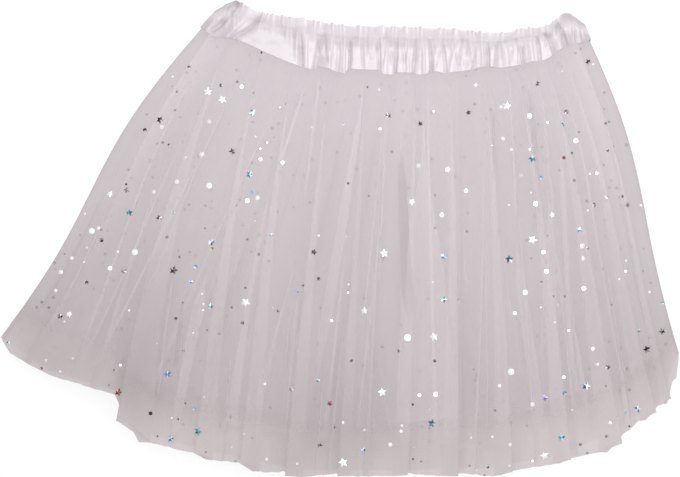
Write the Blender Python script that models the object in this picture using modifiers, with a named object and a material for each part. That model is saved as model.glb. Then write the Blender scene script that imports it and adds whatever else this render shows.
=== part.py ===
"""A child's pull-on tutu skirt lying flat: a star-sprinkled outer ring of tulle over a plain under ring,
both gathered into a ruffled satin waistband.

The skirt lies on its back on the XY plane. The waist points to +Y, the hem to -Y and the front up, to +Z.
All sizes below are millimetres. Each ring of tulle is two sheets, front and back, that meet at the side folds.
"""

import math
from collections import namedtuple

import bmesh
import bpy
from mathutils import Matrix, Vector

MM = 0.001

# Walls and clearances
TULLE_WALL = 1.1
SATIN_WALL = 1.6
SEAM_GAP = 0.35  # left between walls that lie on each other
TURN = 0.85  # radius of a fold's turn, at the middle of the wall
COVER = 1.2  # how far the sheet lies flat beyond a fold, above and below it
WAIST_SPREAD = 0.8  # spacing of a fold's eight spots where it is drawn up flat at the waist

# How the four sheets of tulle stack up
PLY_STEP = TULLE_WALL + SEAM_GAP + 0.25
WAVE_RISE = (2.0, 2.0, 2.4, 2.4)  # height of the waves: outer back, under back, under front, outer front
LOFT_MARGIN = 0.6
LOFT_INSET = 60.0  # the stack swells from nothing to its full height over this distance from a side fold
WAIST_LOFT = 0.1  # share of that height left at the waist
LOFT_START, LOFT_END = 12.0, 78.0  # distances below the sewn line between which it opens out
BAND_LIFT = SATIN_WALL + SEAM_GAP  # the satin back runs under the tulle at the waist
LIFT_START, LIFT_END = 17.0, 34.0

# The line where the tulle is sewn in, hidden under the satin
Point = namedtuple("Point", "x y")
SEWN_LINE = [
    Point(-91.5, 141.0),
    Point(-82.0, 140.0),
    Point(-60.0, 136.0),
    Point(-26.8, 124.5),
    Point(3.4, 120.2),
    Point(34.8, 119.2),
    Point(72.4, 119.6),
    Point(104.5, 122.4),
    Point(137.4, 129.5),
    Point(152.0, 137.0),
    Point(164.0, 139.5),
]

# The side folds, where each ring of tulle turns from front to back
LEFT_HEM = Point(-227.1, -67.0)
RIGHT_HEM = Point(227.8, -78.4)

# Rows of a sheet, as shares of its length from the waist to the hem, and how much of a fold each row has
Row = namedtuple("Row", "down fold")
ROWS = [
    Row(0.00, 0.10),
    Row(0.035, 0.15),
    Row(0.075, 1.00),
    Row(0.14, 1.00),
    Row(0.28, 1.00),
    Row(0.50, 1.00),
    Row(0.75, 1.00),
    Row(1.00, 1.00),
]
TUCK_START = 0.075  # the folds have no depth above this share, and grow deeper from here to the hem

# One row for each line that runs from the waist to the hem, from the left side fold to the right one.
#   turn       which way the fold's edge faces: left, right, or none for a line with no fold
#   waist      share of the waist's width
#   hem_x/y    where the line, or the fold's edge that shows, meets the hem
#   under_x/y  where the fold's hidden turn meets the hem
#   meet_y     where the sheet under the edge has its own hem
#   bow        how far the line bends to the right at mid length
#   flare      how far it swings right above the middle and left below it
#   waves      soft waves between this line and the next
Line = namedtuple("Line", "turn waist hem_x hem_y under_x under_y meet_y bow flare waves")

OUTER_FRONT = [
    Line("none", 0.000, LEFT_HEM.x, LEFT_HEM.y, 0, 0, 0, -4.4, -5.0, 0),
    Line("none", 0.021, -220.4, -77.7, 0, 0, 0, -4.4, -5.0, 1),
    Line("none", 0.040, -195.0, -91.1, 0, 0, 0, -6.0, -4.0, 2),
    Line("left", 0.078, -148.6, -121.9, -126.0, -136.5, -104.6, -9.0, 0.0, 2),
    Line("left", 0.160, -96.5, -144.0, -84.4, -148.0, -143.5, -4.0, 0.0, 2),
    Line("left", 0.245, -66.0, -150.5, -53.0, -156.0, -150.0, -3.0, 0.0, 2),
    Line("left", 0.338, -36.2, -158.8, -24.1, -159.3, -156.0, -1.0, 0.0, 2),
    Line("left", 0.430, -1.3, -158.8, 8.0, -158.6, -157.0, 0.0, 0.0, 3),
    Line("right", 0.555, 45.6, -158.2, 34.8, -158.4, -157.2, 2.0, 0.0, 2),
    Line("right", 0.645, 79.1, -158.6, 67.0, -158.4, -157.0, 2.0, 0.0, 2),
    Line("right", 0.735, 115.2, -156.2, 103.2, -158.6, -155.0, 2.0, 0.0, 2),
    Line("right", 0.820, 154.1, -148.0, 142.0, -150.8, -146.5, 3.0, 0.0, 2),
    Line("right", 0.890, 188.3, -137.4, 172.9, -143.0, -131.0, 4.0, 1.0, 1),
    Line("right", 0.927, 211.7, -116.9, 200.5, -122.0, -112.8, 5.5, 2.5, 0),
    Line("right", 0.962, 221.8, -107.8, 216.9, -111.0, -96.5, 6.4, 3.0, 0),
    Line("none", 0.981, 225.8, -93.8, 0, 0, 0, 6.4, 3.0, 0),
    Line("none", 1.000, RIGHT_HEM.x, RIGHT_HEM.y, 0, 0, 0, 6.4, 3.0, 0),
]

OUTER_BACK = [
    Line("none", 0.000, LEFT_HEM.x, LEFT_HEM.y, 0, 0, 0, -4.4, -5.0, 2),
    Line("none", 0.090, -195.0, -89.5, 0, 0, 0, -4.0, -2.0, 2),
    Line("none", 0.172, -150.5, -103.0, 0, 0, 0, -4.0, -0.5, 0),
    Line("none", 0.187, -146.5, -119.5, 0, 0, 0, -4.0, 0.0, 1),
    Line("none", 0.240, -124.0, -133.5, 0, 0, 0, -3.0, 0.0, 2),
    Line("none", 0.320, -94.0, -142.0, 0, 0, 0, -2.0, 0.0, 2),
    Line("none", 0.400, -58.0, -150.0, 0, 0, 0, -1.0, 0.0, 2),
    Line("none", 0.470, -24.0, -156.5, 0, 0, 0, -1.0, 0.0, 3),
    Line("none", 0.600, 45.0, -156.3, 0, 0, 0, 0.0, 0.0, 3),
    Line("none", 0.710, 102.0, -154.5, 0, 0, 0, 1.0, 0.0, 2),
    Line("none", 0.820, 150.0, -145.5, 0, 0, 0, 2.0, 0.0, 2),
    Line("none", 0.895, 186.0, -130.0, 0, 0, 0, 4.5, 1.5, 1),
    Line("none", 0.935, 203.0, -117.0, 0, 0, 0, 5.5, 2.0, 1),
    Line("none", 0.965, 215.5, -109.5, 0, 0, 0, 6.2, 2.5, 0),
    Line("none", 0.984, 221.5, -94.5, 0, 0, 0, 6.4, 3.0, 0),
    Line("none", 1.000, RIGHT_HEM.x, RIGHT_HEM.y, 0, 0, 0, 6.4, 3.0, 0),
]

UNDER_FRONT = [
    Line("none", 0.030, -201.0, -74.0, 0, 0, 0, -4.0, -3.0, 3),
    Line("none", 0.200, -128.0, -102.0, 0, 0, 0, -3.0, 0.0, 3),
    Line("none", 0.350, -64.0, -128.0, 0, 0, 0, -1.0, 0.0, 4),
    Line("none", 0.600, 70.0, -143.0, 0, 0, 0, 1.0, 0.0, 3),
    Line("none", 0.800, 150.0, -133.0, 0, 0, 0, 1.0, 0.0, 3),
    Line("none", 0.970, 209.0, -80.0, 0, 0, 0, 5.0, 2.5, 0),
]

UNDER_BACK = [
    Line("none", 0.030, -201.0, -74.0, 0, 0, 0, -4.0, -3.0, 3),
    Line("none", 0.240, -140.0, -92.0, 0, 0, 0, -2.0, 0.0, 4),
    Line("none", 0.500, 0.0, -128.0, 0, 0, 0, 0.0, 0.0, 4),
    Line("none", 0.760, 130.0, -116.0, 0, 0, 0, 1.0, 0.0, 4),
    Line("none", 0.970, 209.0, -80.0, 0, 0, 0, 5.0, 2.5, 0),
]

# The satin waistband, one row for each station from its left end to its right end: its top and bottom edges
Station = namedtuple("Station", "top_x top_y bottom_x bottom_y")
BAND = [
    Station(-82.4, 152.8, -92.5, 141.4),
    Station(-71.0, 158.8, -84.5, 134.8),
    Station(-64.3, 157.0, -71.0, 132.0),
    Station(-53.6, 151.4, -60.0, 128.0),
    Station(-26.8, 147.4, -26.8, 115.5),
    Station(3.4, 142.7, 3.4, 111.2),
    Station(36.2, 141.7, 34.8, 110.2),
    Station(72.4, 140.4, 72.4, 110.6),
    Station(105.9, 137.4, 104.5, 113.4),
    Station(121.9, 140.4, 120.6, 116.6),
    Station(138.0, 142.0, 137.4, 120.6),
    Station(146.0, 147.5, 147.4, 128.0),
    Station(153.0, 150.8, 157.5, 131.0),
    Station(164.0, 143.6, 168.2, 132.6),
]
GATHERS_FRONT, GATHERS_BACK = 40, 26
HEADING = 0.26  # share of the band's width above its elastic, where the gathers are fine
GATHER_RISE, GATHER_SWAY = 1.4, 1.2  # how far the gathers stand up, and push the top edge up and down
PUCKERS = 13  # broad folds below the elastic
PUCKER_RISE = 1.7
BAND_TOP_Z = SATIN_WALL * 1.5 + 2 * SEAM_GAP + 0.8  # middle of the front wall at its top edge
BAND_LOW_Z = 11.0  # and where it passes over the tulle's sewn edges
BAND_RISE = 0.5  # share of the width over which it climbs between the two
BAND_END_Z = 6.2  # and at the side folds, where only the outer ring lies under it
BAND_END = 5.0  # length of each end over which the gathers fade
BACK_RISE = 0.8
TOP_SETBACK = 1.6  # the back's top edge lies this far below the front's
FRONT_ROWS = (0.0, 0.16, 0.34, 0.6, 1.0)
BACK_ROWS = (0.0, 0.2, 0.5, 1.0)
WAVE_SHAPE = (0.0, 0.75, 0.75)  # the rise of a soft wave at three even steps across it
TUCK_SHAPE = (0.0, 0.0, 1.0)  # a wave of the outer back: a ridge beside a strip that lies flat on the floor


def mix(first, second, share):
    return first + (second - first) * share


def ramp(value, start, end):
    """A straight rise from 0 at start to 1 at end."""
    return min(1.0, max(0.0, (value - start) / (end - start)))


def smooth(value):
    """An even rise from 0 to 1 as value goes from 0 to 1."""
    t = min(1.0, max(0.0, value))
    return t * t * (3 - 2 * t)


def varied(number, shift=0.0):
    """A repeatable share between 0.45 and 1, which sets neighbouring folds apart."""
    return 0.725 + 0.275 * math.sin(2.4 * number + 1.3 * shift)


def sewn_y(x):
    """How far up the sewn line lies at a place across the waist."""
    for left, right in zip(SEWN_LINE, SEWN_LINE[1:]):
        if x <= right.x:
            break
    return mix(left.y, right.y, ramp(x, left.x, right.x))


def beside_fold(x, y, top, hem):
    """How far a point lies from the straight line of a side fold."""
    run, drop = hem.x - top.x, hem.y - top.y
    return abs((x - top.x) * drop - (y - top.y) * run) / math.hypot(run, drop)


def loft(x, y):
    """Share of the stack's full height at a place: little at the waist and none at the side folds."""
    left = beside_fold(x, y, SEWN_LINE[0], LEFT_HEM)
    right = beside_fold(x, y, SEWN_LINE[-1], RIGHT_HEM)
    opened = mix(WAIST_LOFT, 1.0, ramp(sewn_y(x) - y, LOFT_START, LOFT_END))
    return smooth(min(left, right) / LOFT_INSET) * opened


def lift(x, y):
    """Height of the satin back under the tulle, which ends just below the sewn line."""
    return BAND_LIFT * (1 - ramp(sewn_y(x) - y, LIFT_START, LIFT_END))


def ply_height(ply, x, y):
    """Middle of a sheet's wall at its lowest, for ply 0, the outer back, to 3, the outer front."""
    swell = sum(WAVE_RISE[:ply]) + LOFT_MARGIN * ply
    return TULLE_WALL / 2 + lift(x, y) + ply * PLY_STEP + swell * loft(x, y)


# A spot is one point of a sheet: its place in plan, its rise in a fold and its share of a soft wave
Spot = namedtuple("Spot", "x y rise wave")


def line_spots(line, row):
    """The spots of one line in a row: eight through an S-shaped fold, or one where there is no fold."""
    out = {"left": -1, "none": 0, "right": 1}[line.turn]  # the way the edge that shows faces
    deep = ramp(row.down, TUCK_START, 1.0)
    deep_x, deep_y = (line.under_x - line.hem_x) * deep, (line.under_y - line.hem_y) * deep
    meet = (line.meet_y - line.hem_y) * row.down
    curl = min(TURN, abs(deep_x) / 3)  # a fold that is still shallow is a steep slope, not yet an S
    steep = (1 - curl / TURN) / 3
    path = [  # offset in x and y from the edge that shows, and height in turns
        (out * COVER, meet, 0),
        (out * TURN + deep_x, deep_y, 0),
        (deep_x, deep_y, 1),
        (out * curl + deep_x, deep_y, 2 - steep),
        (-out * curl, 0, 2 + steep),
        (0, 0, 3),
        (-out * TURN, 0, 4),
        (-out * COVER + deep_x, deep_y, 4),
    ]
    if out == 0:
        path = [(0, 0, 0)]
    elif out > 0:
        path.reverse()
    spots = []
    bend = line.bow * math.sin(math.pi * row.down) + line.flare * math.sin(2 * math.pi * row.down)
    for k, (over, along, turns) in enumerate(path):
        spread = (k - (len(path) - 1) / 2) * WAIST_SPREAD * (1 - row.fold)
        start = mix(SEWN_LINE[0].x, SEWN_LINE[-1].x, line.waist) + spread
        x = mix(start, line.hem_x, row.down) + bend + over
        y = mix(sewn_y(start), line.hem_y, row.down) + along
        spots.append(Spot(x, y, turns * TURN * row.fold, 0))
    return spots


def wave_spots(first, last, waves, shape, number):
    """The spots of the soft waves between two lines in a row."""
    steps = waves * len(shape)
    spots = []
    for k in range(1, steps):
        wave = shape[k % len(shape)] * varied(number + k // len(shape))
        x, y, rise, _ = (mix(a, b, k / steps) for a, b in zip(first, last))
        spots.append(Spot(x, y, rise, wave))
    return spots


def row_spots(lines, shape, row):
    spots = line_spots(lines[0], row)
    for number, (line, after) in enumerate(zip(lines, lines[1:])):
        new = line_spots(after, row)
        spots += wave_spots(spots[-1], new[0], line.waves, shape, 3 * number) + new
    return spots


def gridded(columns, rows):
    """A bmesh grid of that many columns and rows, whose vertices run row by row."""
    mesh = bmesh.new()
    bmesh.ops.create_grid(mesh, x_segments=columns - 1, y_segments=rows - 1, size=1)
    bmesh.ops.reverse_faces(mesh, faces=mesh.faces)
    mesh.verts.ensure_lookup_table()
    return mesh


def tulle_sheet(name, lines, ply, material):
    """One sheet of tulle, laid out row by row from the waist to the hem."""
    lies_on_floor = ply == 0
    shape = TUCK_SHAPE if lies_on_floor else WAVE_SHAPE
    rows = [row_spots(lines, shape, row) for row in ROWS]
    count = len(rows[0])
    mesh = gridded(count, len(rows))
    for index, vertex in enumerate(mesh.verts):
        at = index % count
        spot = rows[index // count][at]
        z = ply_height(ply, spot.x, spot.y) + spot.rise + WAVE_RISE[ply] * spot.wave * loft(spot.x, spot.y)
        if ply == 3 and at in (0, count - 1):
            z = ply_height(1, spot.x, spot.y)  # at the side folds the outer front meets the outer back
        vertex.co = (spot.x * MM, spot.y * MM, (z - lies_on_floor * TULLE_WALL / 2) * MM)
    return walled(name, mesh, TULLE_WALL, lies_on_floor, material)


def band_shares():
    """How far along the band each station lies, as a share of its length, and that length."""
    middles = [((s.top_x + s.bottom_x) / 2, (s.top_y + s.bottom_y) / 2) for s in BAND]
    gone = [0.0]
    for before, after in zip(middles, middles[1:]):
        gone.append(gone[-1] + math.dist(before, after))
    return [part / gone[-1] for part in gone], gone[-1]


SHARES, BAND_LENGTH = band_shares()


def band_point(along, across):
    """A place on the waistband in plan. across is 0 at its top edge and 1 at its bottom edge."""
    k = next(n for n in range(1, len(SHARES)) if along <= SHARES[n] + 1e-9)
    t = ramp(along, SHARES[k - 1], SHARES[k])
    here = [mix(a, b, t) for a, b in zip(BAND[k - 1], BAND[k])]
    return mix(here[0], here[2], across), mix(here[1], here[3], across)


def end_fade(along, length=BAND_END):
    """0 at either end of the band, rising to 1 at that distance from it."""
    return smooth(min(along, 1 - along) * BAND_LENGTH / length)


def gather(along, count):
    """Height of the fine gathers, as a share, at a place along the band."""
    return math.sin(math.pi * along * count) ** 2 * varied(int(along * count), 1.0)


def pucker(along):
    """Height of the broad folds below the elastic, as a share."""
    swing = along * PUCKERS + 0.35 * math.sin(6 * math.pi * along)
    return math.sin(math.pi * swing) ** 2 * varied(int(swing), 2.0)


def front_height(along, across):
    end = end_fade(along)
    base = mix(BAND_TOP_Z, mix(BAND_END_Z, BAND_LOW_Z, end), smooth(across / BAND_RISE))
    fine = GATHER_RISE * gather(along, GATHERS_FRONT) * (1 - 0.75 * smooth((across - HEADING) / 0.3))
    broad = PUCKER_RISE * pucker(along) * smooth((across - HEADING) / 0.4)
    return base + (fine + broad) * end


def back_height(along, across):
    fine = BACK_RISE * gather(along, GATHERS_BACK) * (1 - smooth(across / 0.45))
    return fine * end_fade(along)


def waistband_half(name, gathers, rows, height, setback, material):
    """The front or back of the satin waistband, drawn up into gathers."""
    lies_on_floor = height is back_height
    count = gathers * len(WAVE_SHAPE) + 1
    mesh = gridded(count, len(rows))
    for index, vertex in enumerate(mesh.verts):
        along, across = (index % count) / (count - 1), rows[index // count]
        x, y = band_point(along, across)
        sway = GATHER_SWAY * (gather(along, gathers) - 0.5) * (1 - smooth(across / HEADING))
        y += sway * end_fade(along) - setback * (1 - across) * end_fade(along, 10 * BAND_END)
        vertex.co = (x * MM, y * MM, height(along, across) * MM)
    return walled(name, mesh, SATIN_WALL, lies_on_floor, material)


def walled(name, mesh, wall, lies_on_floor, material):
    """Makes a bmesh sheet an object with a wall: half of it on either side, or all above one on the floor."""
    data = bpy.data.meshes.new(name)
    mesh.to_mesh(data)
    mesh.free()
    data.materials.append(material)
    data.shade_smooth()
    made = bpy.data.objects.new(name, data)
    bpy.data.collections["ballet_tutu"].objects.link(made)
    solidify = made.modifiers.new("wall", "SOLIDIFY")
    solidify.thickness = wall * MM
    solidify.offset = 1 if lies_on_floor else 0
    return made


def centre_over_origin(pieces):
    """Moves all pieces together, so the footprint is centred on the origin and the lowest point is at z 0."""
    bpy.context.view_layer.update()
    graph = bpy.context.evaluated_depsgraph_get()
    corners = [Vector(c) for piece in pieces for c in piece.evaluated_get(graph).bound_box]
    low = [min(c[axis] for c in corners) for axis in range(3)]
    high = [max(c[axis] for c in corners) for axis in range(3)]
    shift = Matrix.Translation((-(low[0] + high[0]) / 2, -(low[1] + high[1]) / 2, -low[2]))
    for piece in pieces:
        piece.data.transform(shift)


def cloth(name, colour, roughness, alpha=1.0):
    material = bpy.data.materials.new(name)
    material.use_nodes = True
    shader = material.node_tree.nodes["Principled BSDF"]
    shader.inputs["Base Color"].default_value = (*colour, 1)
    shader.inputs["Roughness"].default_value = roughness
    shader.inputs["Alpha"].default_value = alpha
    return material


def main():
    for old in list(bpy.data.objects):
        bpy.data.objects.remove(old)
    collection = bpy.data.collections.new("ballet_tutu")
    bpy.context.scene.collection.children.link(collection)

    star_tulle = cloth("star_tulle", (0.62, 0.55, 0.58), 0.7, 0.8)
    plain_tulle = cloth("plain_tulle", (0.60, 0.54, 0.57), 0.75, 0.8)
    satin = cloth("satin", (0.80, 0.72, 0.77), 0.35)

    centre_over_origin(
        [
            tulle_sheet("outer_tulle_back", OUTER_BACK, 0, star_tulle),
            tulle_sheet("under_tulle_back", UNDER_BACK, 1, plain_tulle),
            tulle_sheet("under_tulle_front", UNDER_FRONT, 2, plain_tulle),
            tulle_sheet("outer_tulle_front", OUTER_FRONT, 3, star_tulle),
            waistband_half("waistband_back", GATHERS_BACK, BACK_ROWS, back_height, TOP_SETBACK, satin),
            waistband_half("waistband_front", GATHERS_FRONT, FRONT_ROWS, front_height, 0.0, satin),
        ]
    )


main()
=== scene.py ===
import math
import random
from collections import namedtuple
from functools import partial

import bmesh
import bpy
from mathutils import Matrix, Vector
from mathutils.bvhtree import BVHTree


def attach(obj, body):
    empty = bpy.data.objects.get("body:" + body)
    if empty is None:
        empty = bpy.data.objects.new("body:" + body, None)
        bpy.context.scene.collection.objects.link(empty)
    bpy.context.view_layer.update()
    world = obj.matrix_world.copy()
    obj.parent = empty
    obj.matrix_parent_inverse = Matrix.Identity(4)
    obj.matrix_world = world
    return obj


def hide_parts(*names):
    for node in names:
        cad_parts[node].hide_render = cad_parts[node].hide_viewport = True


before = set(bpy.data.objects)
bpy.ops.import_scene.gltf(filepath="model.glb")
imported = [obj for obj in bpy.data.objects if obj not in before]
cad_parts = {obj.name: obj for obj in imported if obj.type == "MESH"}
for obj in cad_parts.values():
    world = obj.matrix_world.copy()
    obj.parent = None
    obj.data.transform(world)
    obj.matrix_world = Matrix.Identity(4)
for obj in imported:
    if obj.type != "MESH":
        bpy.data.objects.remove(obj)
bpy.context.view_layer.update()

# A child's tulle tutu laid flat: star-sprinkled outer ring, plain under ring, ruched satin waistband.
# Sizes are millimetres in the same plan as the solids; planShift centres their footprint on the origin.
mm = 0.001
planShift = Vector((-0.41, 0.29, 0.0))


def mix(first, second, share):
    return first + (second - first) * share


def ramp(value, start, end):
    return min(1.0, max(0.0, (value - start) / (end - start)))


def smooth(value):
    t = min(1.0, max(0.0, value))
    return t * t * (3 - 2 * t)


def tableOf(kind, *rows):
    return [kind(*row) for row in rows]


def neighbours(rows, x, along="x"):
    # the two rows of a table that a place lies between
    for left, right in zip(rows, rows[1:]):
        if x <= getattr(right, along):
            break
    return left, right


def varied(number, shift=0.0):
    # a repeatable share between 0.45 and 1 that sets neighbours apart
    return 0.725 + 0.275 * math.sin(2.4 * number + 1.3 * shift)


def hexColour(code):
    # sRGB hex to linear RGBA
    parts = [int(code[k:k + 2], 16) / 255 for k in (0, 2, 4)]
    return (*[c / 12.92 if c <= 0.04045 else ((c + 0.055) / 1.055) ** 2.4 for c in parts], 1.0)


def addNode(tree, kind, inputs=None, **settings):
    # an input is given a value, a hex colour, an output, or a node for its first output; in a Mix node 0, 6
    # and 7 are the share and the two colours, and output 2 is what comes of them
    node = tree.nodes.new("ShaderNode" + kind)
    for name, value in settings.items():
        setattr(node, name, value)
    for name, value in (inputs or {}).items():
        if isinstance(value, bpy.types.Node):
            value = value.outputs[0]
        if isinstance(value, bpy.types.NodeSocket):
            tree.links.new(value, node.inputs[name])
        else:
            node.inputs[name].default_value = hexColour(value) if isinstance(value, str) else value
    return node


def newMaterial(name):
    # the material, and addNode for its own tree
    material = bpy.data.materials.new(name)
    material.use_nodes = True
    material.node_tree.nodes.clear()
    return material, partial(addNode, material.node_tree)


def addObject(name, data):
    made = bpy.data.objects.new(name, data)
    bpy.context.scene.collection.objects.link(made)
    return made


def meshObject(name, mesh, material):
    data = bpy.data.meshes.new(name)
    mesh.to_mesh(data)
    mesh.free()
    data.materials.append(material)
    return addObject(name, data)


def newPiece(name, mesh, material):
    piece = meshObject(name, mesh, material)
    piece.visible_shadow = False  # nearly all the lamp's light goes through the net
    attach(piece, "root")
    return piece


def tubeMesh(rows, attributes, gone, shares, length):
    # A tube of cloth from rows of spots round it: x, y and z, then a value for each attribute.
    # gone: how far round the flat cloth each column lies; shares: of its length, for each row
    count = len(rows[0])
    mesh = bmesh.new()
    bmesh.ops.create_grid(mesh, x_segments=count, y_segments=len(rows) - 1, size=1)
    bmesh.ops.reverse_faces(mesh, faces=mesh.faces)
    mesh.verts.ensure_lookup_table()
    layers = [mesh.verts.layers.float.new(name) for name in attributes]
    cloth = mesh.loops.layers.uv.new("cloth")
    for index, vertex in enumerate(mesh.verts):
        spot = rows[index // (count + 1)][index % (count + 1) % count]
        vertex.co = (Vector(spot[:3]) + planShift) * mm
        for layer, value in zip(layers, spot[3:]):
            vertex[layer] = value
    for face in mesh.faces:
        face.smooth = True
        for loop in face.loops:
            row, column = divmod(loop.vert.index, count + 1)
            loop[cloth].uv = (gone[column] * mm, shares[row] * length * mm)
    ends = {mesh.verts[r * (count + 1) + count]: mesh.verts[r * (count + 1)] for r in range(len(rows))}
    bmesh.ops.weld_verts(mesh, targetmap=ends)
    print(f"  {count} columns, {len(rows)} rows, {gone[-1]:.0f} mm round")
    return mesh


# Where the sheets lie: the same lines as the solids
Point = namedtuple("Point", "x y")
sewnLine = tableOf(
    Point,
    (-91.5, 141.0), (-82.0, 140.0), (-60.0, 136.0), (-26.8, 124.5),
    (3.4, 120.2), (34.8, 119.2), (72.4, 119.6), (104.5, 122.4),
    (137.4, 129.5), (152.0, 137.0), (164.0, 139.5),
)
leftHem, rightHem = Point(-227.1, -67.0), Point(227.8, -78.4)

# The plies from below are the outer back, the under back, the under front and the outer front
stack = {
    "rest": 0.15,  # height of the lowest, just clear of the surface it lies on
    "plyStart": 0.55, "plyStep": 1.7,  # and of the others, before their waves
    "waveRise": (2.0, 2.0, 2.4, 2.4), "loftMargin": 0.6,  # how high each one's waves stand, and room above
    "loftInset": 60.0,  # how far from a side fold they reach their height
    "waistLoft": 0.1, "loftFrom": 12.0, "loftTo": 78.0,  # share of it at the waist, and where it grows
    "bandLift": 1.95, "liftFrom": 17.0, "liftTo": 34.0,  # the plies climb onto the back of the band
}


def sewnY(x):
    left, right = neighbours(sewnLine, x)
    return mix(left.y, right.y, ramp(x, left.x, right.x))


def besideFold(x, y, top, hem):
    run, drop = hem.x - top.x, hem.y - top.y
    return abs((x - top.x) * drop - (y - top.y) * run) / math.hypot(run, drop)


def fromSide(x, y):
    return min(besideFold(x, y, sewnLine[0], leftHem), besideFold(x, y, sewnLine[-1], rightHem))


def loft(x, y):
    opened = mix(stack["waistLoft"], 1.0, ramp(sewnY(x) - y, stack["loftFrom"], stack["loftTo"]))
    return smooth(fromSide(x, y) / stack["loftInset"]) * opened


def plyHeight(ply, x, y):
    lift = stack["bandLift"] * (1 - ramp(sewnY(x) - y, stack["liftFrom"], stack["liftTo"]))
    swell = sum(stack["waveRise"][:ply]) + stack["loftMargin"] * ply
    start = stack["plyStart"] if ply else stack["rest"]
    return start + lift + ply * stack["plyStep"] + swell * loft(x, y)


# turn: the way a fold's edge faces; waist: share of the waist's width; hem and under: where its two
# turns meet the hem; meetY: the hem of the layer beneath; bow and flare: how the line bends; waves: soft
# waves after it; bright: how much the fold's edge catches the light
Line = namedtuple("Line", "turn waist hemX hemY underX underY meetY bow flare waves bright")


def plainLine(waist, hemX, hemY, bow, flare, waves):
    return Line("none", waist, hemX, hemY, hemX, hemY, hemY, bow, flare, waves, 0.0)


outerFront = [
    plainLine(0.000, leftHem.x, leftHem.y, -4.4, -5.0, 0),
    plainLine(0.021, -220.4, -77.7, -4.4, -5.0, 1),
    plainLine(0.040, -195.0, -91.1, -6.0, -4.0, 2),
    Line("left", 0.078, -148.6, -121.9, -126.0, -136.5, -104.6, -9.0, 0.0, 2, 0.1),
    Line("left", 0.160, -96.5, -144.0, -84.4, -148.0, -143.5, -4.0, 0.0, 2, 0.3),
    Line("left", 0.245, -66.0, -150.5, -53.0, -156.0, -150.0, -3.0, 0.0, 2, 0.6),
    Line("left", 0.338, -36.2, -158.8, -24.1, -159.3, -156.0, -1.0, 0.0, 2, 0.3),
    Line("left", 0.430, -1.3, -158.8, 8.0, -158.6, -157.0, 0.0, 0.0, 3, 0.15),
    Line("right", 0.555, 45.6, -158.2, 34.8, -158.4, -157.2, 2.0, 0.0, 2, 0.25),
    Line("right", 0.645, 79.1, -158.6, 67.0, -158.4, -157.0, 2.0, 0.0, 2, 0.15),
    Line("right", 0.735, 115.2, -156.2, 103.2, -158.6, -155.0, 2.0, 0.0, 2, 0.2),
    Line("right", 0.820, 154.1, -148.0, 142.0, -150.8, -146.5, 3.0, 0.0, 2, 0.45),
    Line("right", 0.890, 188.3, -137.4, 172.9, -143.0, -131.0, 4.0, 1.0, 1, 0.3),
    Line("right", 0.927, 211.7, -116.9, 200.5, -122.0, -112.8, 5.5, 2.5, 0, 0.2),
    Line("right", 0.962, 221.8, -107.8, 216.9, -111.0, -96.5, 6.4, 3.0, 0, 0.2),
    plainLine(0.981, 225.8, -93.8, 6.4, 3.0, 0),
    plainLine(1.000, rightHem.x, rightHem.y, 6.4, 3.0, 0),
]
outerBack = tableOf(
    plainLine,
    (0.000, leftHem.x, leftHem.y, -4.4, -5.0, 2),
    (0.090, -195.0, -89.5, -4.0, -2.0, 2),
    (0.172, -150.5, -103.0, -4.0, -0.5, 0),
    (0.187, -146.5, -119.5, -4.0, 0.0, 1),
    (0.240, -124.0, -133.5, -3.0, 0.0, 2),
    (0.320, -94.0, -142.0, -2.0, 0.0, 2),
    (0.400, -58.0, -150.0, -1.0, 0.0, 2),
    (0.470, -24.0, -156.5, -1.0, 0.0, 3),
    (0.600, 45.0, -156.3, 0.0, 0.0, 3),
    (0.710, 102.0, -154.5, 1.0, 0.0, 2),
    (0.820, 150.0, -145.5, 2.0, 0.0, 2),
    (0.895, 186.0, -130.0, 4.5, 1.5, 1),
    (0.935, 203.0, -117.0, 5.5, 2.0, 1),
    (0.965, 215.5, -109.5, 6.2, 2.5, 0),
    (0.984, 221.5, -94.5, 6.4, 3.0, 0),
    (1.000, rightHem.x, rightHem.y, 6.4, 3.0, 0),
)
underFront = tableOf(
    plainLine,
    (0.030, -201.0, -74.0, -4.0, -3.0, 3),
    (0.200, -128.0, -102.0, -3.0, 0.0, 3),
    (0.350, -64.0, -128.0, -1.0, 0.0, 4),
    (0.600, 70.0, -143.0, 1.0, 0.0, 3),
    (0.800, 150.0, -133.0, 1.0, 0.0, 3),
    (0.970, 209.0, -80.0, 5.0, 2.5, 0),
)
underBack = tableOf(
    plainLine,
    (0.030, -201.0, -74.0, -4.0, -3.0, 3),
    (0.240, -140.0, -92.0, -2.0, 0.0, 4),
    (0.500, 0.0, -128.0, 0.0, 0.0, 4),
    (0.760, 130.0, -116.0, 1.0, 0.0, 4),
    (0.970, 209.0, -80.0, 5.0, 2.5, 0),
)

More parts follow.
